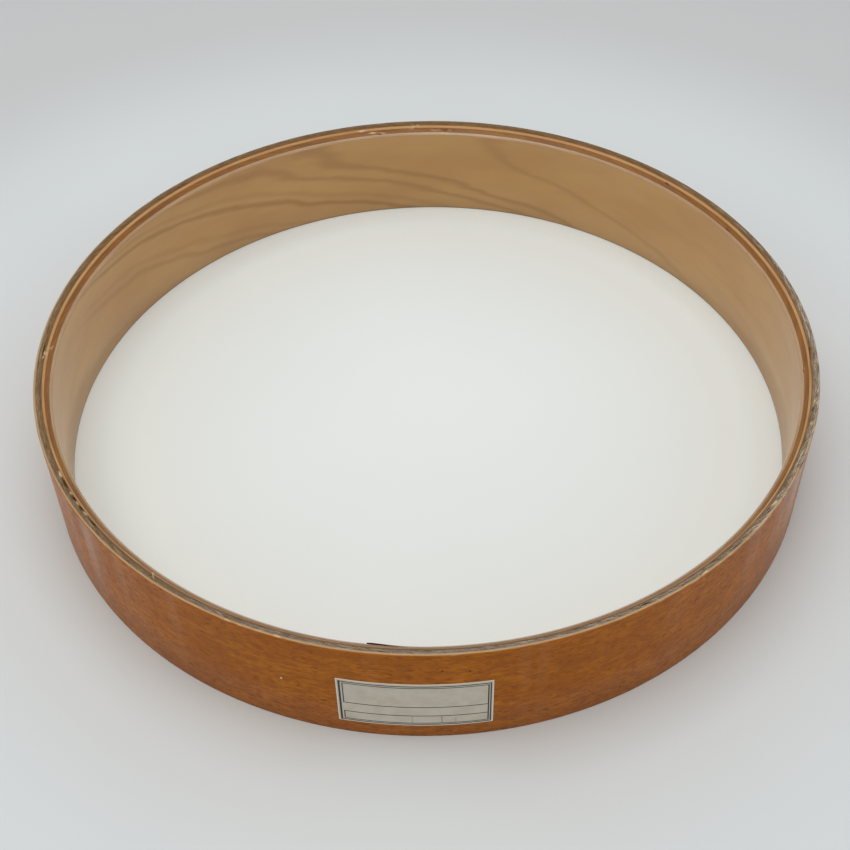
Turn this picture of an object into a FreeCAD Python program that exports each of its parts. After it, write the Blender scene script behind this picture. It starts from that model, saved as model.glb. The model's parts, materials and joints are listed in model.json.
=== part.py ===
import FreeCAD, Part
import math
import os

# Snare drum shell: six veneers bent to rings, glued up, and routed to a bearing edge
# Millimetres, +Z up. Origin: centre of the foot, on the surface that the shell stands on
# -Y is the front, where the paper label is

# Overall sizes
shell_diameter = 355.6
shell_height = 54.5

# Veneers from the inside out: the thickness of each, and the azimuth where its scarf joint begins
glue_line = 0.06
plies = {
    "inner_face_ply": (1.2, 261.5),
    "inner_cross_ply": (1.7, 35.0),
    "inner_core_ply": (0.9, 155.0),
    "outer_core_ply": (1.0, 350.0),
    "outer_cross_ply": (1.2, 230.0),
    "outer_face_ply": (1.2, 65.0),
}

# Bearing edge: a flat crown under the head, then a bevel down to the inner face
crown_width = 2.7
bevel_angle = 45.0
peak_round = 0.5
crown_flat = 0.4
lip_flat = 0.25

# Foot: cut square, with a small flat on both corners
foot_flat = 0.3

# Scarf joints: each veneer's ends are cut on a slope and overlap
scarf_slope = 9.0
scarf_glue = 0.06

# Paper label on the outer face
label_width = 60.0
label_height = 28.0
label_paper = 0.15
label_glue = 0.02
label_foot_gap = 8.0
label_azimuth = 267.6

# Worked out from the sizes above
outer_radius = shell_diameter / 2
wall = sum(veneer for veneer, _ in plies.values()) + glue_line * (len(plies) - 1)
inner_radius = outer_radius - wall
peak_radius = outer_radius - crown_width
bevel = math.radians(bevel_angle)
lip_height = shell_height - (peak_radius - inner_radius) * math.tan(bevel)

# Cutting shapes run past the shell by this much, above and below
overcut = 1.0

AXIS_POINT = FreeCAD.Vector(0, 0, 0)
AXIS = FreeCAD.Vector(0, 0, 1)


def at(radius, height):
    """A point of a cross-section, which is drawn at azimuth 0."""
    return FreeCAD.Vector(radius, 0, height)


def eased_outline(corners):
    """A closed outline from (point, ease, size) corners, eased by a round or by a small flat."""
    eased = []
    for i, (corner, ease, size) in enumerate(corners):
        before = (corners[i - 1][0] - corner).normalize()
        after = (corners[(i + 1) % len(corners)][0] - corner).normalize()
        half_angle = before.getAngle(after) / 2
        reach = size / math.tan(half_angle) if ease == "round" else size
        start = corner + before * reach
        end = corner + after * reach
        if ease == "round":
            inward = (before + after).normalize()
            middle = corner + inward * (size / math.sin(half_angle) - size)
            eased.append((start, Part.Arc(start, middle, end), end))
        else:
            eased.append((start, Part.LineSegment(start, end), end))
    edges = []
    for i, (start, across, end) in enumerate(eased):
        edges.append(across.toShape())
        edges.append(Part.LineSegment(end, eased[(i + 1) % len(eased)][0]).toShape())
    return Part.Wire(edges)


def shell_section():
    """The finished wall in cross-section: square foot, straight walls, crown and bevel."""
    corners = [
        (at(inner_radius, 0), "flat", foot_flat),
        (at(outer_radius, 0), "flat", foot_flat),
        (at(outer_radius, shell_height), "flat", crown_flat),
        (at(peak_radius, shell_height), "round", peak_round),
        (at(inner_radius, lip_height), "flat", lip_flat),
    ]
    return Part.Face(eased_outline(corners))


def band(low_radius, high_radius):
    """The strip of the cross-section plane between two radii, taller than the shell."""
    corners = [
        at(low_radius, -overcut),
        at(high_radius, -overcut),
        at(high_radius, shell_height + overcut),
        at(low_radius, shell_height + overcut),
    ]
    return Part.Face(Part.makePolygon(corners + corners[:1]))


def scarf_kerf(low_radius, veneer, azimuth):
    """The glue-filled slit between the two sloped ends of one veneer, as a thin slab."""
    span = scarf_slope * veneer
    turn = span / (low_radius + veneer / 2)
    start = FreeCAD.Vector(low_radius, 0, 0)
    end = FreeCAD.Vector(math.cos(turn), math.sin(turn), 0) * (low_radius + veneer)
    along = (end - start).normalize()
    across = AXIS.cross(along)
    overrun = span / 4
    corner = start - along * overrun - across * (scarf_glue / 2)
    far_corner = end + along * overrun - across * (scarf_glue / 2)
    foot = [corner, far_corner, far_corner + across * scarf_glue, corner + across * scarf_glue]
    slab = Part.Face(Part.makePolygon(foot + foot[:1])).extrude(AXIS * (shell_height + 2 * overcut))
    slab.translate(AXIS * -overcut)
    slab.rotate(AXIS_POINT, AXIS, azimuth)
    return slab


def ply_ring(low_radius, veneer, scarf_azimuth):
    """One veneer of the shell: a bent strip, scarfed end to end, with its share of the routed edge."""
    section = shell_section().common(band(low_radius, low_radius + veneer)).Faces[0]
    ring = section.revolve(AXIS_POINT, AXIS, 360)
    return ring.cut(scarf_kerf(low_radius, veneer, scarf_azimuth)).Solids[0]


def paper_label():
    """The printed paper label, bent round the outer face."""
    low_radius = outer_radius + label_glue
    corners = [
        at(low_radius, label_foot_gap),
        at(low_radius + label_paper, label_foot_gap),
        at(low_radius + label_paper, label_foot_gap + label_height),
        at(low_radius, label_foot_gap + label_height),
    ]
    turn = math.degrees(label_width / outer_radius)
    section = Part.Face(Part.makePolygon(corners + corners[:1]))
    label = section.revolve(AXIS_POINT, AXIS, turn)
    label.rotate(AXIS_POINT, AXIS, label_azimuth - turn / 2)
    return label


def write_step(shape, node):
    """Writes one sub-part and prints what it holds."""
    if not shape.isValid():
        raise ValueError(node + " isn't a valid solid")
    shape.exportStep("parts/" + node + ".step")
    print(node, shape.ShapeType, "volume", round(shape.Volume, 1), "mm3")


os.makedirs("parts", exist_ok=True)
low_radius = inner_radius
for node, (veneer, scarf_azimuth) in plies.items():
    write_step(ply_ring(low_radius, veneer, scarf_azimuth), node)
    low_radius += veneer + glue_line
write_step(paper_label(), "paper_label")
print("wall", round(wall, 2), "inner radius", round(inner_radius, 2), "lip height", round(lip_height, 2))
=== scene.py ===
import json
import math

import bpy
from mathutils import Matrix, Vector


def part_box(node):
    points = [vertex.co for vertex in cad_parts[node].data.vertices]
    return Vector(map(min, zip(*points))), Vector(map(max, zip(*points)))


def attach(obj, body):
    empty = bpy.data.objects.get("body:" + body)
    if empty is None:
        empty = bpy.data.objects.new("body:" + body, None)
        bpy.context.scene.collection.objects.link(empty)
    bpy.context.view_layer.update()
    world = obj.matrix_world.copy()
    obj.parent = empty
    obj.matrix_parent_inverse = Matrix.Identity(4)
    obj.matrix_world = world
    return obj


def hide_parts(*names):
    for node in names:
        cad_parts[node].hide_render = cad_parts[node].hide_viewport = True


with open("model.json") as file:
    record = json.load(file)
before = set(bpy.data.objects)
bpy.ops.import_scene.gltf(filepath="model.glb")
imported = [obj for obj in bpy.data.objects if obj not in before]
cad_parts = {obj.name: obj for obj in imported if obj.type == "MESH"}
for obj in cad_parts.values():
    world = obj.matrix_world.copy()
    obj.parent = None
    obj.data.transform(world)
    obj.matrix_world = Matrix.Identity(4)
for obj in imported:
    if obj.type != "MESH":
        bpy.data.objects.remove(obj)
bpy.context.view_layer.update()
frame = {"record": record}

# Every size below is in millimetres and every angle in degrees, unless its name says otherwise
MM = 0.001
TO_MM = 1000.0

# The shell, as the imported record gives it
mounts = {m["name"]: m for m in frame["record"]["mounts"]}
shell_radius = mounts["outer_wall"]["dims"]["r_mm"]
bore_radius = mounts["inner_wall"]["dims"]["r_mm"]
shell_height = mounts["bearing_edge"]["pos_m"][2] * TO_MM

# Bearing edge and foot
crown_width = 2.7
bevel_rise = 1.0
crown_flat = 0.4
lip_flat = 0.25
foot_flat = 0.3
peak_softness = 0.35
corner_softness = 0.15
peak_radius = shell_radius - crown_width

# Veneers from the inside out, with the azimuth where each one's scarf joint begins at its inner side
scarf_azimuths = {
    "inner_face_ply": 261.5,
    "inner_cross_ply": 35.0,
    "inner_core_ply": 155.0,
    "outer_core_ply": 350.0,
    "outer_cross_ply": 230.0,
    "outer_face_ply": 65.0,
}
glue_line = 0.06
scarf_slope = 9.0

# Paper label
label_azimuth_limits = [math.degrees(-math.acos(c.x * TO_MM / shell_radius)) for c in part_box("paper_label")]
label_foot, label_top = (c.z * TO_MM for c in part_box("paper_label"))
label_paper = 0.15
label_glue = 0.02
label_width = math.radians(label_azimuth_limits[1] - label_azimuth_limits[0]) * shell_radius
label_height = label_top - label_foot

# How fine the meshes are, and the angle past which an edge stays sharp
segments_round = 2160
layers_across = 8
label_segments = 96
label_rows = 16
face_rows = 6
sharp_angle = 50.0

# Marks along the rim. Each has its azimuth, its length along the rim, the distance from the bore to its
# middle, its reach across, how deep it cuts, and how far it drifts outwards for each millimetre along
pale_marks = [
    (-21.3, 3.0, 5.5, 0.50, 0.16, 0.3),
    (-16.6, 2.4, 5.5, 0.35, 0.12, 0.3),
    (-9.0, 1.2, 1.45, 0.22, 0.05, 0.0),
    (85.4, 1.5, 2.1, 0.55, 0.10, 0.0),
    (87.1, 1.4, 2.2, 0.60, 0.10, 0.0),
    (88.2, 1.3, 2.1, 0.50, 0.08, 0.0),
    (86.6, 8.0, 1.1, 0.18, 0.05, 0.0),
    (91.2, 2.0, 4.0, 0.45, 0.14, 0.0),
    (92.2, 2.6, 3.5, 0.85, 0.20, -0.3),
    (97.9, 1.5, 1.9, 0.75, 0.14, 0.2),
    (99.5, 4.0, 2.2, 0.40, 0.06, 0.0),
    (101.5, 4.0, 3.3, 0.45, 0.05, 0.0),
    (181.7, 3.6, 2.9, 0.22, 0.10, 0.9),
    (183.2, 2.6, 4.1, 0.90, 0.22, 0.0),
    (184.4, 2.0, 4.6, 0.40, 0.12, 0.4),
    (209.0, 4.2, 4.5, 0.60, 0.22, 0.0),
    (213.0, 1.8, 4.4, 0.50, 0.18, 0.2),
    (215.2, 2.4, 4.5, 0.45, 0.16, 0.0),
    (217.5, 2.8, 4.4, 0.50, 0.20, 0.0),
    (232.1, 4.4, 4.4, 0.35, 0.10, 0.9),
    (244.3, 2.6, 6.8, 0.60, 0.22, 0.0),
    (246.0, 1.8, 7.0, 0.45, 0.16, 0.0),
    (248.6, 1.4, 6.6, 0.35, 0.12, 0.0),
    (251.0, 3.4, 6.9, 0.35, 0.12, 0.0),
    (306.5, 3.0, 6.6, 0.40, 0.12, 0.0),
    (322.0, 5.0, 5.8, 0.45, 0.12, 0.1),
]
# The dark marks cut the rim like the pale ones; their colour is painted shade, for the hollows of chips and
# gaps, and for the gap behind the lifted scarf tip
dark_marks = [
    (-6.5, 15.0, 4.15, 0.20, 0.30, 0.055),
    (-9.2, 2.2, 1.25, 0.30, 0.20, 0.0),
    (-18.4, 3.0, 5.2, 0.30, 0.20, 0.2),
    (26.7, 4.2, 1.6, 0.20, 0.06, 0.0),
    (42.3, 2.4, 2.9, 0.32, 0.25, 0.0),
    (86.2, 1.2, 2.2, 0.50, 0.15, 0.0),
    (98.3, 1.4, 1.5, 0.40, 0.15, 0.0),
    (182.4, 6.0, 4.9, 0.30, 0.22, 0.0),
    (211.0, 5.0, 4.5, 0.55, 0.35, 0.0),
    (214.2, 2.2, 4.6, 0.50, 0.35, 0.0),
    (216.3, 2.6, 4.4, 0.50, 0.35, 0.0),
    (219.6, 4.5, 4.7, 0.40, 0.30, 0.0),
    (263.9, 22.0, 0.20, 0.80, 0.05, 0.0),
    (297.0, 3.0, 5.6, 0.40, 0.18, 0.0),
]
# The feather tip of the inner face veneer's scarf has lifted off into the bore, near the bearing edge
tip_lift = 0.65
tip_lift_length = 17.0
tip_lift_height = 9.0

# Wear of the rim: how wide a seam's softened sides are, how fine the rough end grain is, how long the rubbed
# stretches of the corner are and how far in they reach, and how ragged a mark's outline is
seam_width = 0.12
rough_grain = 1 / 1.6
rubbed_stretch = 1 / 0.06
rubbed_reach = 1.6
raggedness = 3.4

# How rough the rim is where it cuts across a veneer's grain, and along it
end_grain_roughness = 0.10
long_grain_roughness = 0.04

# Pinholes in the outer face (azimuth, height), a pale speck, and their radius
pinholes = [(303.4, 25.6), (314.5, 41.0), (294.6, 6.5), (271.0, 44.6), (274.3, 43.5)]
pinhole_size = 0.55
pale_specks = [(250.8, 27.6)]


def srgb(red, green, blue):
    """A colour given as 0 to 255 screen values, as the linear values that Blender works in."""
    linear = []
    for value in (red, green, blue):
        share = value / 255
        linear.append(share / 12.92 if share <= 0.04045 else ((share + 0.055) / 1.055) ** 2.4)
    return (*linear, 1.0)


class Graph:
    """Adds nodes to a tree and joins them. A value is a plain number, a colour, or another node's output."""

    def __init__(self, tree):
        self.tree = tree

    def node(self, kind, inputs=None, **settings):
        made = self.tree.nodes.new(kind)
        for name, value in settings.items():
            setattr(made, name, value)
        for name, value in (inputs or {}).items():
            self.set(made.inputs[name], value)
        return made

    def set(self, socket, value):
        if isinstance(value, bpy.types.NodeSocket):
            self.tree.links.new(value, socket)
        else:
            socket.default_value = value

    def math(self, operation, *values):
        return self.node("ShaderNodeMath", dict(enumerate(values)), operation=operation).outputs[0]

    def add(self, *values):
        total = values[0]
        for value in values[1:]:
            total = self.math("ADD", total, value)
        return total

    def less(self, a, b):
        return self.math("SUBTRACT", a, b)

    def times(self, *values):
        total = values[0]
        for value in values[1:]:
            total = self.math("MULTIPLY", total, value)
        return total

    def over(self, a, b):
        return self.math("DIVIDE", a, b)

    def highest(self, a, b):
        return self.math("MAXIMUM", a, b)

    def lowest(self, a, b):
        return self.math("MINIMUM", a, b)

    def split(self, vector):
        return self.node("ShaderNodeSeparateXYZ", {0: vector}).outputs

    def spot(self):
        """Where a point is on its object, in millimetres, as three values."""
        place = self.node("ShaderNodeTexCoord").outputs["Object"]
        scaled = self.node("ShaderNodeVectorMath", {0: place, "Scale": TO_MM}, operation="SCALE")
        return self.split(scaled.outputs[0])

    def point(self, x, y, z):
        return self.node("ShaderNodeCombineXYZ", {0: x, 1: y, 2: z}).outputs[0]

    def fade(self, value, start, end, first=0.0, last=1.0):
        """Goes smoothly from first, where value is start, to last, where value is end."""
        inputs = {"Value": value, "From Min": start, "From Max": end, "To Min": first, "To Max": last}
        return self.node("ShaderNodeMapRange", inputs, interpolation_type="SMOOTHSTEP").outputs[0]

    def noise(self, vector, detail=2.0, roughness=0.5):
        inputs = {"Vector": vector, "Scale": 1.0, "Detail": detail, "Roughness": roughness}
        return self.node("ShaderNodeTexNoise", inputs).outputs["Fac"]

    def level(self, factor, a, b):
        return self.node("ShaderNodeMix", {0: factor, 2: a, 3: b}, data_type="FLOAT").outputs[0]

    def tint(self, factor, a, b):
        return self.node("ShaderNodeMix", {0: factor, 6: a, 7: b}, data_type="RGBA").outputs[2]


def new_group(kind, name, inputs, outputs):
    """An empty node group with named sockets: its graph, its input sockets and its output node's sockets."""
    tree = bpy.data.node_groups.new(name, kind)
    for label, (socket_type, value) in inputs.items():
        socket = tree.interface.new_socket(label, in_out="INPUT", socket_type="NodeSocket" + socket_type)
        if value is not None:
            socket.default_value = value
    for label, socket_type in outputs.items():
        tree.interface.new_socket(label, in_out="OUTPUT", socket_type="NodeSocket" + socket_type)
    graph = Graph(tree)
    given = graph.node("NodeGroupInput").outputs
    taken = graph.node("NodeGroupOutput").inputs
    return graph, given, taken


def place_group(graph, group, **values):
    """One use of a shader node group, with its named inputs set; the words of a name are joined by _."""
    made = graph.node("ShaderNodeGroup", node_tree=group)
    for name, value in values.items():
        graph.set(made.inputs[name.replace("_", " ")], value)
    return made.outputs


# Geometry: one tree makes every bent strip, from the veneers to the paper label


def mark_group():
    """How far a place on the rim lies inside a mark, from 0 outside it to 1 in its middle."""
    inputs = {
        "Azimuth": ("Float", 0.0),
        "Radius": ("Float", 0.0),
        "Raggedness": ("Float", 0.0),
        "Mark Azimuth": ("Float", 0.0),
        "Mark Length": ("Float", 5.0),
        "Mark Radius": ("Float", 174.0),
        "Reach": ("Float", 1.0),
        "Drift": ("Float", 0.0),
    }
    g, given, taken = new_group("GeometryNodeTree", "rim_mark", inputs, {"Inside": "Float"})
    turn = g.less(given["Azimuth"], g.math("RADIANS", given["Mark Azimuth"]))
    along = g.times(g.math("WRAP", turn, math.pi, -math.pi), given["Radius"])
    middle = g.add(given["Mark Radius"], g.times(along, given["Drift"]))
    along_share = g.over(along, g.times(given["Mark Length"], 0.5))
    across_share = g.over(g.less(given["Radius"], middle), given["Reach"])
    square = g.add(g.times(along_share, along_share), g.times(across_share, across_share))
    ragged = g.add(g.math("SQRT", square), given["Raggedness"])
    g.set(taken["Inside"], g.fade(ragged, 1.05, 0.65))
    return g.tree


def strip_inputs():
    """The sizes of a bent strip; those of the whole wall have the shell's values."""
    sizes = {
        "Inner Radius": bore_radius,
        "Thickness": 1.2,
        "Start": 0.0,
        "Scarf Turn": 0.0,
        "Sweep": 360.0,
        "Foot": 0.0,
        "Top": shell_height,
        "Sink": 0.0,
        "Tip Lift": 0.0,
        "Seam Ease": 0.04,
        "Edge Roughness": 0.03,
        "Rub": 0.1,
        "Mark Share": 1.0,
        "Shell Radius": shell_radius,
        "Bore Radius": bore_radius,
        "Peak Radius": peak_radius,
        "Bevel Rise": bevel_rise,
        "Crown Flat": crown_flat,
        "Lip Flat": lip_flat,
        "Foot Flat": foot_flat,
        "Seed": 1.0,
        "Face Side": 0.0,
    }
    inputs = {name: ("Float", value) for name, value in sizes.items()}
    for name, count in (("Segments", segments_round), ("Layers", layers_across), ("Rows", 1)):
        inputs[name] = ("Int", count)
    for name in ("Side Material", "Edge Material", "Face Material"):
        inputs[name] = ("Material", None)
    return inputs


def routed_profile(g, given, radius):
    """The height of the crown and bevel at a radius, with the small flats at both corners."""
    fall = g.times(g.less(given["Peak Radius"], radius), given["Bevel Rise"])
    crown = g.math("SMOOTH_MIN", given["Top"], g.less(given["Top"], fall), peak_softness)
    to_shell = g.less(given["Shell Radius"], radius)
    corner = g.add(g.less(given["Top"], given["Crown Flat"]), to_shell)
    lip_fall = g.times(g.less(given["Peak Radius"], given["Bore Radius"]), given["Bevel Rise"])
    to_bore = g.less(radius, given["Bore Radius"])
    lip_top = g.less(g.less(given["Top"], lip_fall), given["Lip Flat"])
    lip = g.add(lip_top, g.times(to_bore, 1 + math.sqrt(2)))
    profile = g.lowest(g.math("SMOOTH_MIN", crown, corner, corner_softness), lip)
    foot_ease = g.less(given["Foot Flat"], g.lowest(to_shell, to_bore))
    foot = g.add(given["Foot"], g.highest(foot_ease, 0.0), given["Sink"])
    return profile, foot, to_shell


def marks_inside(g, marks, azimuth, radius, ragged):
    """How deep all of the marks cut at a place, and how far the place lies inside any of them."""
    deepest = 0.0
    inside = 0.0
    for mark_azimuth, length, from_bore, reach, depth, drift in marks:
        cut = g.node("GeometryNodeGroup", node_tree=mark_tree)
        values = (azimuth, radius, ragged, mark_azimuth, length, bore_radius + from_bore, reach, drift)
        for socket, value in zip(cut.inputs, values):
            g.set(socket, value)
        inside = g.highest(inside, cut.outputs[0])
        deepest = g.highest(deepest, g.times(cut.outputs[0], depth))
    return deepest, inside


def keep_attribute(g, geometry, name, value):
    """The geometry with a vector stored on its points under a name."""
    stored = g.node("GeometryNodeStoreNamedAttribute", data_type="FLOAT_VECTOR", domain="POINT")
    g.set(stored.inputs["Geometry"], geometry)
    g.set(stored.inputs["Name"], name)
    g.set(stored.inputs["Value"], value)
    return stored.outputs[0]


def strip_group():
    """A strip bent to a ring: sloped ends, a routed top and eased corners, with wear cut into the rim."""
    g, given, taken = new_group("GeometryNodeTree", "bent_strip", strip_inputs(), {"Geometry": "Geometry"})

    counts = {
        "Vertices X": g.add(given["Segments"], 1),
        "Vertices Y": g.add(given["Layers"], 1),
        "Vertices Z": g.add(given["Rows"], 1),
    }
    block = g.node("GeometryNodeMeshCube", {"Size": (1, 1, 1), **counts}).outputs["Mesh"]
    shares = g.split(g.node("GeometryNodeInputPosition").outputs[0])
    along = g.less(0.5, shares[0])

    # The layers lie closer together beside the seams, and the rows beside the rim
    through = g.fade(g.add(shares[1], 0.5), 0.0, 1.0)
    up = g.less(1.0, g.math("POWER", g.less(0.5, shares[2]), 3.0))

    # Which side of the strip a face is on, kept from before the strip is bent
    sides = g.node("GeometryNodeCaptureAttribute", {"Geometry": block}, domain="FACE")
    sides.capture_items.new("VECTOR", "Side")
    g.set(sides.inputs["Side"], g.node("GeometryNodeInputPosition").outputs[0])
    side = g.split(sides.outputs["Side"])

    # Where a point is round the shell
    flat_radius = g.add(given["Inner Radius"], g.times(through, given["Thickness"]))
    past_tip = g.add(g.times(through, given["Scarf Turn"]), g.times(along, given["Sweep"]))
    azimuth = g.math("RADIANS", g.add(given["Start"], past_tip))
    tip_distance = g.times(g.math("RADIANS", past_tip), flat_radius)
    lifted = g.times(given["Tip Lift"], g.fade(tip_distance, tip_lift_length, 0.5))
    radius = g.less(flat_radius, g.times(lifted, g.fade(up, 1 - tip_lift_height / shell_height, 1.0)))
    mid_radius = g.add(given["Inner Radius"], g.times(given["Thickness"], 0.5))
    arc = g.times(along, g.math("RADIANS", given["Sweep"]), mid_radius)
    cosine = g.math("COSINE", azimuth)
    sine = g.math("SINE", azimuth)
    profile, foot, to_shell = routed_profile(g, given, flat_radius)

    # Wear: the seams between veneers are softened, end grain is rough, corners are rubbed and marked
    edge_distance = g.times(g.lowest(through, g.less(1.0, through)), given["Thickness"])
    seam = g.times(given["Seam Ease"], g.fade(edge_distance, seam_width, 0.0))
    x = g.times(cosine, radius)
    y = g.times(sine, radius)
    rough = g.noise(g.point(g.over(x, rough_grain), g.over(y, rough_grain), given["Seed"]), 3.0, 0.7)
    fine = g.times(given["Edge Roughness"], rough)
    patches = g.noise(g.point(g.over(x, rubbed_stretch), g.over(y, rubbed_stretch), given["Seed"]))
    rubbed = g.times(given["Rub"], g.fade(patches, 0.45, 0.75), g.fade(to_shell, rubbed_reach, 0.0))
    splinters = g.noise(g.point(g.times(arc, 0.8), g.times(radius, 2.2), given["Seed"]), 3.0, 0.65)
    ragged = g.times(g.less(splinters, 0.5), raggedness)
    pale_depth, pale = marks_inside(g, pale_marks, azimuth, flat_radius, ragged)
    dark_depth, dark = marks_inside(g, dark_marks, azimuth, flat_radius, ragged)
    marks = g.times(g.highest(pale_depth, dark_depth), given["Mark Share"])
    rim = g.less(profile, g.add(seam, fine, rubbed, marks, given["Sink"]))

    height = g.add(foot, g.times(up, g.less(rim, foot)))
    bent = g.point(g.times(x, MM), g.times(y, MM), g.times(height, MM))

    # Kept for the materials: where each point is along the strip, up it, and in from the shell's outer face
    kept = g.node("GeometryNodeCaptureAttribute", {"Geometry": sides.outputs["Geometry"]}, domain="POINT")
    kept.capture_items.new("VECTOR", "Place")
    kept.capture_items.new("VECTOR", "Marks")
    at_rim = g.fade(up, 0.98, 1.0)
    g.set(kept.inputs["Place"], g.point(arc, height, to_shell))
    g.set(kept.inputs["Marks"], g.point(g.times(pale, at_rim), g.times(dark, at_rim), 0.0))
    moved = g.node("GeometryNodeSetPosition", {"Geometry": kept.outputs["Geometry"], "Position": bent})
    placed = keep_attribute(g, moved.outputs[0], "strip_place", kept.outputs["Place"])
    placed = keep_attribute(g, placed, "rim_marks", kept.outputs["Marks"])

    # Corners between the sides stay sharp
    angle = g.node("GeometryNodeInputMeshEdgeAngle").outputs[0]
    sharp = g.math("GREATER_THAN", angle, math.radians(sharp_angle))
    smooth = g.node("GeometryNodeSetShadeSmooth", {"Geometry": placed, "Shade Smooth": True}, domain="FACE")
    creases = {"Geometry": smooth.outputs[0], "Selection": sharp, "Shade Smooth": False}
    creased = g.node("GeometryNodeSetShadeSmooth", creases, domain="EDGE")

    real = g.node("GeometryNodeRealizeInstances", {"Geometry": creased.outputs[0]}).outputs[0]
    outermost = 0.499
    on_edge = g.math("GREATER_THAN", g.math("ABSOLUTE", side[2]), outermost)
    on_face = g.math("GREATER_THAN", g.times(side[1], given["Face Side"]), outermost)
    for name, selection in (("Side Material", True), ("Edge Material", on_edge), ("Face Material", on_face)):
        painted = {"Geometry": real, "Selection": selection, "Material": given[name]}
        real = g.node("GeometryNodeSetMaterial", painted).outputs[0]
    g.set(taken["Geometry"], real)
    return g.tree


def bent_strip(name, tree, **values):
    """A plain mesh object made by the strip tree; the words of an input's name are joined by _."""
    shape = bpy.data.objects.new(name, bpy.data.meshes.new(name))
    bpy.context.scene.collection.objects.link(shape)
    modifier = shape.modifiers.new("bent_strip", "NODES")
    modifier.node_group = tree
    sockets = {item.name: item.identifier for item in tree.interface.items_tree if item.in_out == "INPUT"}
    for label, value in values.items():
        modifier[sockets[label.replace("_", " ")]] = value
    evaluated = shape.evaluated_get(bpy.context.evaluated_depsgraph_get())
    mesh = bpy.data.meshes.new_from_object(evaluated)
    shape.modifiers.remove(modifier)
    shape.data = mesh
    mesh.name = name
    return shape


# Shader groups that several finishes share


def fibre_group():
    """Wood fibre that runs along the strip: a soft streak value, and a mask of the flecks in it."""
    inputs = {
        "Place": ("Vector", None),
        "Length": ("Float", 8.0),
        "Width": ("Float", 0.4),
        "Waviness": ("Float", 1.0),
        "Fleck Start": ("Float", 0.58),
        "Fleck End": ("Float", 0.68),
        "Seed": ("Float", 0.0),
    }
    g, given, taken = new_group("ShaderNodeTree", "wood_fibre", inputs, {"Streak": "Float", "Fleck": "Float"})
    along, up, inward = g.split(given["Place"])
    drift = g.less(g.noise(g.point(g.over(along, 22.0), g.over(up, 9.0), given["Seed"])), 0.5)
    lifted = g.add(up, g.times(drift, given["Waviness"]))
    layer = g.add(g.over(inward, given["Width"]), given["Seed"])
    fibre = g.point(g.over(along, given["Length"]), g.over(lifted, given["Width"]), layer)
    streak = g.noise(fibre, 3.0, 0.55)
    g.set(taken["Streak"], streak)
    g.set(taken["Fleck"], g.fade(streak, given["Fleck Start"], given["Fleck End"]))
    return g.tree


def pore_group():
    """Cut fibre ends: dark pores, pale dust in them, and a height for the bump."""
    inputs = {
        "Place": ("Vector", None),
        "Pore Size": ("Float", 0.5),
        "Ray Length": ("Float", 1.6),
        "Seed": ("Float", 0.0),
    }
    outputs = {"Pores": "Float", "Dust": "Float", "Height": "Float"}
    g, given, taken = new_group("ShaderNodeTree", "cut_fibre_ends", inputs, outputs)
    along, _, inward = g.split(given["Place"])
    size = given["Pore Size"]
    ends = g.point(g.over(along, size), given["Seed"], g.over(inward, given["Ray Length"]))
    coarse = g.noise(ends, 3.0, 0.65)
    dust = g.noise(g.point(g.over(along, size), g.over(inward, size), given["Seed"]), 2.0, 0.6)
    g.set(taken["Pores"], g.fade(coarse, 0.53, 0.56))
    g.set(taken["Dust"], g.fade(dust, 0.53, 0.56))
    g.set(taken["Height"], g.less(dust, coarse))
    return g.tree


def wear_and_shade_group():
    """Where handling has worn the finish, and where painted shade goes: strongest towards one side of the
    shell, and patchy.
    """
    inputs = {
        "Worst Azimuth": ("Float", 300.0),
        "Spread": ("Float", 0.4),
        "Patch Size": ("Float", 18.0),
        "Seed": ("Float", 0.0),
    }
    g, given, taken = new_group("ShaderNodeTree", "rubbed_places", inputs, {"Worn": "Float"})
    x, y, _ = g.spot()
    turn = g.less(g.math("ARCTAN2", y, x), g.math("RADIANS", given["Worst Azimuth"]))
    facing = g.add(g.times(g.math("COSINE", turn), 0.5), 0.5)
    size = given["Patch Size"]
    patch = g.noise(g.point(g.over(x, size), g.over(y, size), given["Seed"]), 3.0)
    worn = g.add(facing, g.times(g.less(patch, 0.5), 1.2))
    g.set(taken["Worn"], g.fade(worn, given["Spread"], g.add(given["Spread"], 0.35)))
    return g.tree


def speck_group():
    """A small round spot on the outer face, at an azimuth and a height."""
    inputs = {"Azimuth": ("Float", 0.0), "Height": ("Float", 0.0), "Size": ("Float", 1.0)}
    g, given, taken = new_group("ShaderNodeTree", "speck", inputs, {"Spot": "Float"})
    x, y, z = g.spot()
    turn = g.less(g.math("ARCTAN2", y, x), g.math("RADIANS", given["Azimuth"]))
    sideways = g.times(g.math("WRAP", turn, math.pi, -math.pi), shell_radius)
    upwards = g.less(z, given["Height"])
    distance = g.math("SQRT", g.add(g.times(sideways, sideways), g.times(upwards, upwards)))
    g.set(taken["Spot"], g.fade(g.over(distance, given["Size"]), 1.2, 0.6))
    return g.tree


def frame_line_group():
    """A printed rectangle outline on the label: how much ink lies at a place."""
    inputs = {
        "Place": ("Vector", None),
        "Left": ("Float", 0.0),
        "Right": ("Float", 1.0),
        "Bottom": ("Float", 0.0),
        "Top": ("Float", 1.0),
        "Line": ("Float", 0.3),
    }
    g, given, taken = new_group("ShaderNodeTree", "printed_frame", inputs, {"Ink": "Float"})
    along, up, _ = g.split(given["Place"])

    def past(value, low, high):
        middle = g.times(g.add(low, high), 0.5)
        return g.less(g.math("ABSOLUTE", g.less(value, middle)), g.times(g.less(high, low), 0.5))

    sideways = past(along, given["Left"], given["Right"])
    outside = g.highest(sideways, past(up, given["Bottom"], given["Top"]))
    off_line = g.less(g.math("ABSOLUTE", outside), g.times(given["Line"], 0.5))
    g.set(taken["Ink"], g.fade(off_line, 0.06, -0.06))
    return g.tree


mark_tree = mark_group()
wood_fibre = fibre_group()
cut_fibre_ends = pore_group()
rubbed_places = wear_and_shade_group()
speck = speck_group()
printed_frame = frame_line_group()


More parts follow.
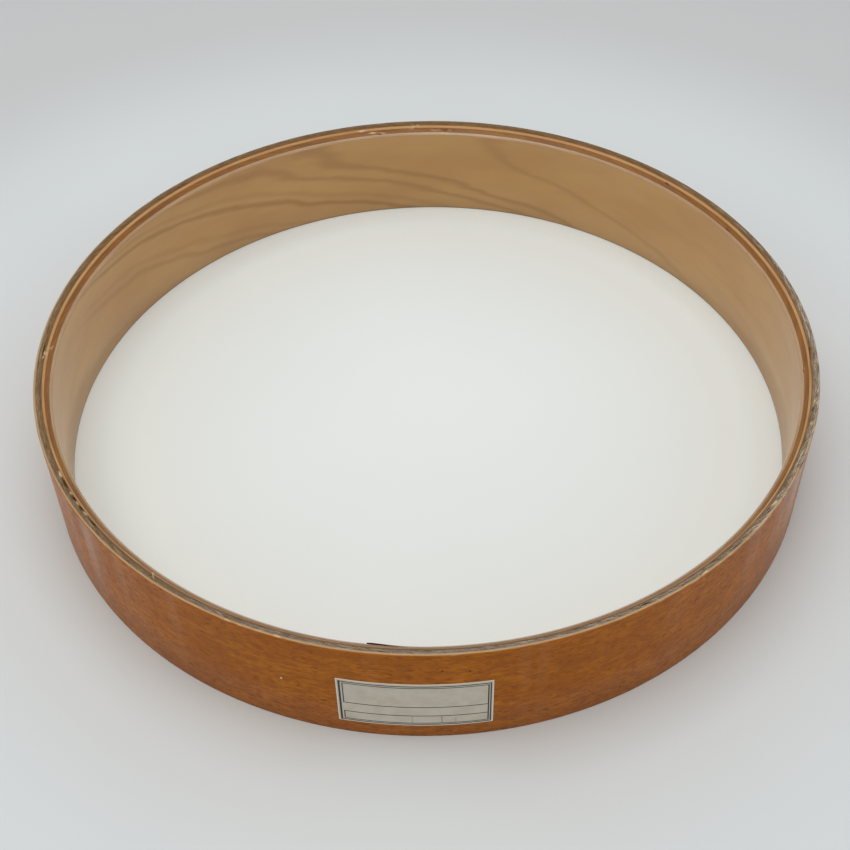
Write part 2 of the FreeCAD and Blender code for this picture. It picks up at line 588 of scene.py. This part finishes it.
def new_material(name):
    """A material with one Principled shader: the material, its graph, the shader and the strip's place."""
    material = bpy.data.materials.new(name)
    material.use_nodes = True
    graph = Graph(material.node_tree)
    shader = material.node_tree.nodes["Principled BSDF"]
    place = graph.node("ShaderNodeAttribute", attribute_name="strip_place").outputs["Vector"]
    return material, graph, shader, place


def relief(graph, shader, height, depth_mm):
    """A bump on the shader, for a height that runs from 0 to 1."""
    bump = graph.node("ShaderNodeBump", {"Strength": 1.0, "Distance": depth_mm * MM, "Height": height})
    graph.set(shader.inputs["Normal"], bump.outputs[0])


# Colours of the finishes
amber_light = srgb(191, 112, 6)
amber_deep = srgb(174, 97, 2)
amber_streak = srgb(166, 86, 6)
amber_hair = srgb(214, 136, 34)
amber_mottle = srgb(150, 80, 4)
amber_fleck = srgb(130, 66, 4)
# Painted shade along the outer face's foot
amber_foot_shade = srgb(84, 64, 50)
bare_corner = srgb(196, 152, 100)
bare_maple = srgb(212, 178, 134)
pinhole_brown = srgb(60, 30, 12)
speck_cream = srgb(240, 214, 176)
maple_light = srgb(197, 151, 88)
maple_deep = srgb(189, 141, 80)
maple_growth_line = srgb(150, 104, 48)
maple_faint_line = srgb(160, 112, 60)
maple_fleck = srgb(166, 118, 66)
# Painted shade along the inner face's foot
maple_foot_shade = srgb(92, 82, 74)
# Painted shade on the near side of the bevel
bevel_near_shade = srgb(100, 82, 62)
pore_dirt = srgb(34, 23, 14)
warm_dust = srgb(206, 182, 142)
grey_dust = srgb(232, 223, 206)
torn_light = srgb(228, 202, 162)
torn_deep = srgb(170, 130, 88)
# Painted shade for the dark marks' hollows and gaps
gap_shade_dark = srgb(62, 36, 16)
gap_shade_light = srgb(112, 74, 40)
paper_light = srgb(210, 203, 186)
paper_deep = srgb(200, 191, 172)
paper_rim = srgb(236, 230, 214)
ink_black = srgb(22, 20, 19)
glue_dark = srgb(86, 58, 34)
glue_light = srgb(112, 78, 46)
floor_mottle = srgb(180, 184, 186)


def amber_varnish():
    """The outer face: maple under an amber varnish, with short dark flecks and a bare, rubbed top corner.

    The flecks show most on the left and the front.
    """
    material, g, shader, place = new_material("amber_varnish")
    along, up, _ = g.split(place)
    patches = g.noise(g.point(g.over(along, 34.0), g.over(up, 15.0), 3.0), 3.0)
    broad = place_group(g, wood_fibre, Place=place, Length=22.0, Width=1.3, Waviness=7.0, Seed=4.0)
    fleck = place_group(
        g, wood_fibre, Place=place, Length=3.6, Width=0.42, Waviness=7.0, Seed=9.0,
        Fleck_Start=0.54, Fleck_End=0.61,
    )
    hair = place_group(g, wood_fibre, Place=place, Length=6.0, Width=0.3, Waviness=6.0, Seed=2.0)
    lively = place_group(
        g, rubbed_places, Worst_Azimuth=225.0, Spread=0.25, Patch_Size=30.0, Seed=8.0
    )["Worn"]
    colour = g.tint(g.fade(patches, 0.35, 0.65), amber_light, amber_deep)
    colour = g.tint(g.times(g.fade(broad["Streak"], 0.42, 0.62), 0.5), colour, amber_streak)
    colour = g.tint(g.times(hair["Fleck"], g.level(lively, 0.2, 0.5)), colour, amber_hair)
    mottle = g.noise(g.point(g.over(along, 7.0), g.over(up, 2.6), g.over(along, 19.0)), 3.0, 0.6)
    colour = g.tint(g.fade(mottle, 0.44, 0.6, 0.0, 0.55), colour, amber_mottle)
    colour = g.tint(g.times(fleck["Fleck"], g.level(lively, 0.35, 0.8)), colour, amber_fleck)
    # Painted shade: the wall darkens over its last millimetre, where it meets the floor
    colour = g.tint(g.fade(up, 0.9, 0.1, 0.0, 0.6), colour, amber_foot_shade)
    rubbed = place_group(g, rubbed_places, Worst_Azimuth=320.0, Spread=0.35, Patch_Size=9.0, Seed=5.0)["Worn"]
    ragged = g.add(up, g.times(g.noise(g.point(g.over(along, 2.5), 0.0, 7.0), 3.0, 0.6), 0.7))
    corner = g.times(g.fade(ragged, shell_height - 0.3, shell_height + 0.1), rubbed)
    colour = g.tint(corner, colour, bare_corner)
    for azimuth, height in pinholes:
        spot = place_group(g, speck, Azimuth=azimuth, Height=height, Size=pinhole_size)["Spot"]
        colour = g.tint(g.times(spot, 0.8), colour, pinhole_brown)
    for azimuth, height in pale_specks:
        spot = place_group(g, speck, Azimuth=azimuth, Height=height, Size=pinhole_size)["Spot"]
        colour = g.tint(spot, colour, speck_cream)
    g.set(shader.inputs["Base Color"], colour)
    g.set(shader.inputs["Roughness"], g.level(fleck["Fleck"], 0.34, 0.44))
    shader.inputs["Specular IOR Level"].default_value = 0.11
    matt_front = place_group(g, rubbed_places, Worst_Azimuth=270.0, Spread=0.55, Seed=5.0)["Worn"]
    g.set(shader.inputs["Coat Weight"], g.times(g.less(1.0, matt_front), g.fade(up, 2.0, 45.0, 0.15, 0.75)))
    shader.inputs["Coat Roughness"].default_value = 0.25
    relief(g, shader, g.less(hair["Streak"], g.times(fleck["Fleck"], 0.6)), 0.03)
    return material


# Growth lines on the inner face: where each lies in the figure, and how dark it is
growth_lines = [(45.0, 0.5), (50.6, 0.3), (66.0, 0.9), (71.6, 0.35), (81.0, 0.65), (89.0, 0.7), (111.5, 0.45)]
growth_line_edges = ((-3.4, 0.0), (-0.3, 1.0), (2.1, 0.0))
figure_span = 130.0
figure_slope = 0.25

# The figure's waves (length round the shell, height up it, and how far a line moves), and where the figure
# fades in and out, as distances round the shell from its left side
broad_wave = (60.0, 22.0, 11.0)
small_wave = (12.0, 4.0, 2.2)
figure_starts = (10.0, 60.0)
figure_ends = (470.0, 400.0)

# Faint lines all round the inner face: their spacing, and the waves in them
faint_line_spacing = 9.5
faint_line_swell = (170.0, 60.0, 70.0)


def growth_ramp(graph, level):
    """The figure's growth lines as darkness along level."""
    node = graph.node("ShaderNodeValToRGB", {0: graph.over(level, figure_span)})
    ramp = node.color_ramp
    ramp.interpolation = "EASE"
    ramp.elements[0].color = (0, 0, 0, 1)
    ramp.elements[1].color = (0, 0, 0, 1)
    for line, strength in growth_lines:
        for offset, share in growth_line_edges:
            stop = ramp.elements.new((line + offset) / figure_span)
            stop.color = (strength * share,) * 3 + (1.0,)
    return node.outputs[0]


def natural_maple():
    """The inner face: clear-finished maple, whose growth lines sweep down across the far side."""
    material, g, shader, place = new_material("natural_maple")
    along, up, _ = g.split(place)
    left_side = 180.0
    left_end = math.radians(360.0 + left_side - scarf_azimuths["inner_face_ply"]) * bore_radius
    across = g.less(left_end, along)
    length, height, move = broad_wave
    broad_waves = g.noise(g.point(g.over(across, length), g.over(up, height), 1.0))
    wander = g.times(g.less(broad_waves, 0.5), move)
    length, height, move = small_wave
    small_waves = g.noise(g.point(g.over(across, length), g.over(up, height), 2.0), 3.0)
    ripple = g.times(g.less(small_waves, 0.5), move)

    # Near the rim the lines bend, one way on the left and the other way further on
    hook_height = 34.0
    hook = g.times(g.fade(across, 60.0, 230.0, -0.5, 0.9), g.highest(g.less(up, hook_height), 0.0))
    level = g.less(g.add(up, g.times(across, figure_slope), wander, ripple), hook)
    shown = g.times(g.fade(across, *figure_starts), g.fade(across, *figure_ends))
    figure = g.times(growth_ramp(g, level), shown)

    length, height, move = faint_line_swell
    swell = g.times(g.noise(g.point(g.over(along, length), g.over(up, height), 8.0)), move)
    rings = g.math("FRACT", g.over(g.add(g.times(up, 0.8), swell, ripple), faint_line_spacing))
    ring = g.times(g.fade(rings, 0.55, 0.9), g.fade(rings, 1.0, 0.92))
    faint_lines = g.times(ring, g.less(0.55, g.times(shown, 0.5)))
    fibre = place_group(
        g, wood_fibre, Place=place, Length=14.0, Width=0.35, Waviness=4.0, Seed=3.0,
        Fleck_Start=0.57, Fleck_End=0.72,
    )
    patches = g.noise(g.point(g.over(along, 60.0), g.over(up, 20.0), 5.0))
    colour = g.tint(g.fade(patches, 0.3, 0.7), maple_light, maple_deep)
    colour = g.tint(g.times(figure, 0.65), colour, maple_growth_line)
    colour = g.tint(g.times(faint_lines, 0.15), colour, maple_faint_line)
    colour = g.tint(g.times(fibre["Fleck"], 0.12), colour, maple_fleck)
    # Painted shade: the inner face darkens over its last millimetre, where it meets the floor
    colour = g.tint(g.fade(up, 1.1, 0.2, 0.0, 0.6), colour, maple_foot_shade)
    g.set(shader.inputs["Base Color"], colour)
    g.set(shader.inputs["Roughness"], g.level(fibre["Fleck"], 0.38, 0.44))
    shader.inputs["Specular IOR Level"].default_value = 0.5
    shader.inputs["Coat Weight"].default_value = 0.3
    shader.inputs["Coat Roughness"].default_value = 0.2
    relief(g, shader, g.less(fibre["Streak"], g.times(figure, 0.3)), 0.015)
    return material


# Distances in from the outer face: full gloss at the lip, where the bevel is still sealed, where it is rough
lip_gloss_limit = 6.8
sealed_limit = 5.4
rough_limit = 4.3


def cut_edge(name, stain, deep, seed, end_grain=False, near_shade=0.0, dirt=0.0, dust=0.0, amber_reach=0.0):
    """A veneer's routed and sawn edges: sealed at the lip, rough and speckled on the crown, and marked.

    Near-side shade says how much painted shade darkens the bevel on the near side, dirt and dust how much of
    each shows, and amber_reach how far in the varnish laps over the corner, on the one veneer that has it.
    """
    material, g, shader, place = new_material(name)
    along, _, inward = g.split(place)
    ray_length = 0.9 if dust else 1.5
    ends = place_group(g, cut_fibre_ends, Place=place, Pore_Size=0.8, Ray_Length=ray_length, Seed=seed)
    fibre = place_group(
        g, wood_fibre, Place=place, Length=5.0, Width=0.3, Waviness=0.5, Seed=seed,
        Fleck_Start=0.5, Fleck_End=0.6,
    )
    grain = g.times(ends["Pores"], 0.75) if end_grain else g.times(fibre["Fleck"], 0.4)
    slow = g.noise(g.point(g.over(along, 26.0), g.over(inward, 3.0), seed), 3.0)
    colour = g.tint(grain, g.tint(g.fade(slow, 0.35, 0.7, 0.0, 0.5), stain, deep), deep)

    # The nearest part of the bevel is darkened with painted shade
    nearest = place_group(g, rubbed_places, Worst_Azimuth=270.0, Spread=0.6, Seed=seed)["Worn"]
    colour = g.tint(g.times(nearest, near_shade), colour, bevel_near_shade)

    # The crown has lost its finish: it is stained, with dirt in its grain and, except on the far side, dust.
    # The dust is warm wood dust on the left and greyer on the right, and there is less of it on the near side
    on_crown = g.fade(inward, crown_width + 0.9, crown_width - 0.1)
    handled = place_group(g, rubbed_places, Worst_Azimuth=270.0, Spread=0.2, Seed=seed)["Worn"]
    colour = g.tint(g.times(on_crown, g.level(handled, 0.5, 1.0), dust), colour, deep)
    colour = g.tint(g.times(on_crown, ends["Pores"], dirt), colour, pore_dirt)
    greyer = place_group(g, rubbed_places, Worst_Azimuth=330.0, Spread=0.35, Seed=seed)["Worn"]
    dusty = g.times(on_crown, handled, ends["Dust"], g.level(greyer, 0.6 * dust, dust))
    less_near = g.less(1.0, g.times(nearest, 0.5))
    colour = g.tint(g.times(dusty, less_near), colour, g.tint(greyer, warm_dust, grey_dust))

    # On the left and near sides the outer face veneer is worn to bare, pale wood at its corner, and on the
    # near side its varnish laps over the corner
    if amber_reach:
        bare = place_group(
            g, rubbed_places, Worst_Azimuth=240.0, Spread=0.3, Patch_Size=9.0, Seed=2.0
        )["Worn"]
        bare_line = g.fade(g.add(inward, g.times(ends["Height"], 2.5)), 1.0, 0.6)
        colour = g.tint(g.times(bare, bare_line, 0.65), colour, bare_maple)
        kept_on = place_group(
            g, rubbed_places, Worst_Azimuth=258.0, Spread=0.6, Patch_Size=6.0, Seed=5.0
        )["Worn"]
        lap = g.times(kept_on, g.fade(inward, amber_reach + 0.15, amber_reach - 0.15))
        colour = g.tint(lap, colour, amber_deep)

    # Chips show torn, pale wood, and dark marks are painted shade in the hollows and gaps
    pale, dark, _ = g.split(g.node("ShaderNodeAttribute", attribute_name="rim_marks").outputs["Vector"])
    torn = g.times(ends["Height"], 2.0)
    broken = g.tint(g.times(fibre["Fleck"], 0.6), torn_light, torn_deep)
    chipped = g.times(g.fade(g.add(pale, torn), 0.3, 0.55), g.fade(pale, 0.0, 0.2), 0.9)
    colour = g.tint(chipped, colour, broken)
    gap_shade = g.tint(g.times(ends["Dust"], 0.5), gap_shade_dark, gap_shade_light)
    gap_shade_mask = g.times(g.fade(g.add(dark, torn), 0.2, 0.5), g.fade(dark, 0.0, 0.2), 0.9)
    colour = g.tint(gap_shade_mask, colour, gap_shade)
    g.set(shader.inputs["Base Color"], colour)
    marked = g.highest(pale, dark)
    rough = g.highest(g.fade(inward, sealed_limit, rough_limit), marked)
    g.set(shader.inputs["Roughness"], g.level(rough, 0.3, 0.8))
    shader.inputs["Specular IOR Level"].default_value = 0.2 if dirt else 0.4
    gloss = g.fade(inward, sealed_limit, lip_gloss_limit, 0.0, 0.9)
    g.set(shader.inputs["Coat Weight"], g.times(gloss, g.less(1.0, marked)))
    shader.inputs["Coat Roughness"].default_value = 0.14
    relief(g, shader, ends["Height"] if end_grain else fibre["Streak"], 0.05)
    return material


# Ruled lines on the label: left, right, bottom and top, in from the paper's edges, and the line's weight
label_frames = [
    (1.3, 1.0, 0.8, 1.5, 0.52),
    (2.6, 1.9, 0.45 * label_height, 2.5, 0.44),
    (2.6, 1.9, 1.7, 0.76 * label_height, 0.44),
]
# Upright lines: distance from the left edge, bottom, top, weight and how dark
label_bars = [
    (1.3, 0.8, label_height - 1.5, 0.8, 1.0),
    (label_width - 1.9, 1.7, label_height - 2.5, 0.55, 1.0),
    (0.48 * label_width, 1.7, 0.24 * label_height, 0.25, 0.5),
    (0.67 * label_width, 1.7, 0.24 * label_height, 0.3, 0.7),
    (0.76 * label_width, 1.7, 0.16 * label_height, 0.25, 0.5),
]


def label_paper_finish():
    """The paper label: aged cream paper with a ruled double border and boxes, all left blank."""
    material, g, shader, place = new_material("label_paper")
    along, up, _ = g.split(place)
    local = g.point(along, g.less(up, label_foot), 0.0)
    ink = 0.0
    for left, right, bottom, top, line in label_frames:
        box = {"Left": left, "Right": label_width - right, "Bottom": bottom, "Top": label_height - top}
        ink = g.highest(ink, place_group(g, printed_frame, Place=local, Line=line, **box)["Ink"])
    for x, bottom, top, line, darkness in label_bars:
        box = {"Left": x, "Right": x, "Bottom": bottom, "Top": top}
        bar = place_group(g, printed_frame, Place=local, Line=line, **box)["Ink"]
        ink = g.highest(ink, g.times(bar, darkness))
    mottle = g.noise(g.point(g.over(along, 7.0), g.over(up, 7.0), 1.0), 4.0, 0.6)
    grit = g.noise(g.point(g.over(along, 0.35), g.over(up, 0.35), 2.0))
    colour = g.tint(g.fade(mottle, 0.35, 0.7), paper_light, paper_deep)
    to_side = g.lowest(along, g.less(label_width, along))
    to_end = g.lowest(g.less(up, label_foot), g.less(label_top, up))
    edge = g.lowest(to_side, to_end)
    colour = g.tint(g.fade(edge, 0.7, 0.1, 0.0, 0.9), colour, paper_rim)
    worn_ink = g.times(ink, g.fade(grit, 0.25, 0.5, 0.7, 1.0))
    colour = g.tint(worn_ink, colour, ink_black)
    g.set(shader.inputs["Base Color"], colour)
    g.set(shader.inputs["Roughness"], g.level(ink, 0.62, 0.5))
    shader.inputs["Specular IOR Level"].default_value = 0.35
    relief(g, shader, grit, 0.02)
    return material


def dried_glue():
    """The glue between veneers: brown and glassy, a little below the rim."""
    material, g, shader, place = new_material("dried_glue")
    along, up, inward = g.split(place)
    uneven = g.noise(g.point(g.over(along, 3.0), up, inward))
    g.set(shader.inputs["Base Color"], g.tint(uneven, glue_dark, glue_light))
    g.set(shader.inputs["Roughness"], g.level(uneven, 0.4, 0.6))
    relief(g, shader, uneven, 0.02)
    return material


# The floor's colour by distance from the shell's middle, with painted light and shade in it: brighter inside
# the shell, a painted bright band just inside the wall against the shade at its foot, painted shade beside
# the wall's outside foot, and darker further away
floor_light_and_shade = [
    (0.0, srgb(236, 242, 243)),
    (143.0, srgb(231, 237, 237)),
    (158.0, srgb(233, 242, 243)),
    (170.0, srgb(243, 252, 254)),
    (176.0, srgb(220, 223, 223)),
    (205.0, srgb(215, 220, 222)),
    (270.0, srgb(217, 224, 227)),
    (420.0, srgb(203, 206, 208)),
    (700.0, srgb(196, 198, 201)),
]


def floor_finish():
    """Pale painted board, a little mottled, whose colour carries painted light and shade and falls off in
    brightness away from the shell.
    """
    material = bpy.data.materials.new("pale_floor")
    material.use_nodes = True
    g = Graph(material.node_tree)
    shader = material.node_tree.nodes["Principled BSDF"]
    x, y, _ = g.spot()
    distance = g.math("SQRT", g.add(g.times(x, x), g.times(y, y)))
    colour = floor_light_and_shade[0][1]
    for (start, _), (end, tone) in zip(floor_light_and_shade, floor_light_and_shade[1:]):
        colour = g.tint(g.fade(distance, start, end), colour, tone)
    mottle = g.noise(g.point(g.over(x, 180.0), g.over(y, 180.0), 0.0), 3.0)
    colour = g.tint(g.fade(mottle, 0.3, 0.8, 0.0, 0.06), colour, floor_mottle)
    g.set(shader.inputs["Base Color"], colour)
    shader.inputs["Roughness"].default_value = 0.6
    shader.inputs["Specular IOR Level"].default_value = 0.3
    return material


amber = amber_varnish()
maple = natural_maple()
light_edge = cut_edge("inner_face_edge", srgb(182, 147, 106), srgb(156, 116, 73), 0.0)
cross_edge = cut_edge("inner_cross_edge", srgb(152, 98, 28), srgb(98, 54, 6), 2.0, end_grain=True)
# The two core veneers' bevels carry painted shade on their near side
core_edge = cut_edge("inner_core_edge", srgb(200, 156, 108), srgb(172, 125, 77), 3.0, near_shade=0.4)
peak_edge = cut_edge(
    "outer_core_edge", srgb(150, 112, 68), srgb(92, 68, 42), 4.0,
    end_grain=True, near_shade=0.3, dirt=0.6, dust=0.4,
)
crown_edge = cut_edge(
    "outer_cross_edge", srgb(156, 124, 90), srgb(112, 90, 68), 5.0, end_grain=True, dirt=1.0, dust=0.85
)
corner_edge = cut_edge(
    "outer_face_edge", srgb(200, 156, 108), srgb(112, 88, 64), 6.0, dirt=1.0, dust=0.9, amber_reach=0.25
)

# The veneers, from the inside out: piece, CAD node, slot, edge finish, face finish, and the face's side
veneers = [
    ("inner_face_veneer", "inner_face_ply", "natural_maple_face", light_edge, maple, -1.0),
    ("inner_cross_veneer", "inner_cross_ply", "cross_grain_core", cross_edge, cross_edge, 0.0),
    ("inner_core_veneer", "inner_core_ply", "long_grain_core", core_edge, core_edge, 0.0),
    ("outer_core_veneer", "outer_core_ply", "cross_grain_core", peak_edge, peak_edge, 0.0),
    ("outer_cross_veneer", "outer_cross_ply", "cross_grain_core", crown_edge, crown_edge, 0.0),
    ("outer_face_veneer", "outer_face_ply", "amber_maple_face", corner_edge, amber, 1.0),
]

strip_tree = strip_group()
glue = dried_glue()
glue_sink = 0.12
glue_look = {
    "Sink": glue_sink, "Side_Material": glue, "Edge_Material": glue, "Face_Material": glue, "Layers": 2,
}
glue_parts = []
inner = bore_radius
for index, (piece, node, slot_name, edge, face, face_side) in enumerate(veneers):
    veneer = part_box(node)[1].x * TO_MM - inner
    middle_radius = inner + veneer / 2
    scarf_turn = math.degrees(scarf_slope * veneer / middle_radius)
    slit_turn = math.degrees(glue_line * math.hypot(1, scarf_slope) / middle_radius)
    scarf_start = scarf_azimuths[node]
    roughness = end_grain_roughness if slot_name == "cross_grain_core" else long_grain_roughness
    ring = bent_strip(
        piece, strip_tree, Inner_Radius=inner, Thickness=veneer, Start=scarf_start + slit_turn / 2,
        Scarf_Turn=scarf_turn, Sweep=360.0 - slit_turn, Tip_Lift=0.0 if index else tip_lift,
        Edge_Roughness=roughness, Seed=float(index), Rows=face_rows if face_side else 1,
        Side_Material=edge, Edge_Material=edge, Face_Material=face, Face_Side=face_side,
    )
    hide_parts(node)
    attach(ring, "root")
    scarf_glue = bent_strip(
        f"scarf_glue_{index}", strip_tree, Inner_Radius=inner, Thickness=veneer,
        Start=scarf_start - slit_turn / 2, Scarf_Turn=scarf_turn, Sweep=slit_turn, Segments=1, **glue_look,
    )
    glue_parts.append(scarf_glue)
    if index:
        film = {"Inner_Radius": inner - glue_line, "Thickness": glue_line}
        glue_parts.append(bent_strip(f"ply_glue_{index}", strip_tree, **film, **glue_look))
    inner += veneer + glue_line

glue_films = glue_parts[0]
glue_films.name = "glue_films"
with bpy.context.temp_override(active_object=glue_films, selected_editable_objects=glue_parts):
    bpy.ops.object.join()
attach(glue_films, "root")

# The label is a strip too, with the shell's profile moved out of its reach, and no wear
out_of_reach = 5.0
paper = label_paper_finish()
label = bent_strip(
    "ruled_paper_label", strip_tree, Inner_Radius=shell_radius + label_glue, Thickness=label_paper,
    Start=label_azimuth_limits[0], Sweep=label_azimuth_limits[1] - label_azimuth_limits[0],
    Foot=label_foot, Top=label_top, Foot_Flat=-out_of_reach, Shell_Radius=shell_radius + out_of_reach,
    Peak_Radius=bore_radius, Edge_Roughness=0.0, Rub=0.0, Seam_Ease=0.0, Mark_Share=0.0,
    Segments=label_segments, Layers=1, Rows=label_rows, Side_Material=paper, Edge_Material=paper,
    Face_Material=paper,
)
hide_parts("paper_label")
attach(label, "root")

# Floor, in metres
floor_half = 6.0
floor_mesh = bpy.data.meshes.new("floor")
corners = [(-1, -1, 0), (1, -1, 0), (1, 1, 0), (-1, 1, 0)]
floor_mesh.from_pydata([Vector(c) * floor_half for c in corners], [], [(0, 1, 2, 3)])
floor = bpy.data.objects.new("floor", floor_mesh)
floor_mesh.materials.append(floor_finish())
bpy.context.scene.collection.objects.link(floor)

# Light: an even pale room, and a wide lamp overhead
room_strength = 0.49
room_seen = 0.8
world = bpy.data.worlds.new("studio")
bpy.context.scene.world = world
world.use_nodes = True
w = Graph(world.node_tree)
room = world.node_tree.nodes["Background"]
w.set(room.inputs["Color"], srgb(250, 252, 255))
rays = w.node("ShaderNodeLightPath").outputs
seen = w.highest(rays["Is Camera Ray"], w.highest(rays["Is Glossy Ray"], rays["Is Transmission Ray"]))
w.set(room.inputs["Strength"], w.level(seen, room_strength, room_seen))


def soft_lamp(name, place, size, power, colour):
    """A square area lamp that faces the middle of the shell."""
    data = bpy.data.lights.new(name, "AREA")
    data.size = size
    data.energy = power
    data.color = colour[:3]
    lamp = bpy.data.objects.new(name, data)
    bpy.context.scene.collection.objects.link(lamp)
    lamp.location = place
    lamp.rotation_euler = (-Vector(place)).to_track_quat("-Z", "Y").to_euler()


# The lamp's place and size in metres, its power in watts, and its colour
lamp_place = (-0.15, -0.1, 1.9)
lamp_size = 1.8
lamp_power = 22.0
lamp_colour = srgb(255, 250, 242)
soft_lamp("overhead_lamp", lamp_place, lamp_size, lamp_power, lamp_colour)

# Camera: place, direction and lens as fitted to the ring's outlines in an 850 by 850 picture
image_side = 850
camera_back = 452.76
camera_height = 456.455
camera_pan = 1.5932
camera_tilt = 43.3303
camera_roll = 0.0762
focal_pixels = 1308.753
middle_x, middle_y = 455.114, 370.312
sensor = 36.0

camera_data = bpy.data.cameras.new("camera")
camera_data.sensor_width = sensor
camera_data.lens = focal_pixels / image_side * sensor
camera_data.shift_x = 0.5 - middle_x / image_side
camera_data.shift_y = middle_y / image_side - 0.5
camera_data.clip_start = 0.01
camera = bpy.data.objects.new("camera", camera_data)
bpy.context.scene.collection.objects.link(camera)
turned = Matrix.Rotation(-math.radians(camera_pan), 4, "Z")
tilted = Matrix.Rotation(math.radians(90 - camera_tilt), 4, "X")
rolled = Matrix.Rotation(math.radians(camera_roll), 4, "Z")
camera_place = Matrix.Translation(Vector((0, -camera_back, camera_height)) * MM)
camera.matrix_world = camera_place @ turned @ tilted @ rolled
bpy.context.scene.camera = camera
bpy.context.scene.view_settings.view_transform = "Standard"
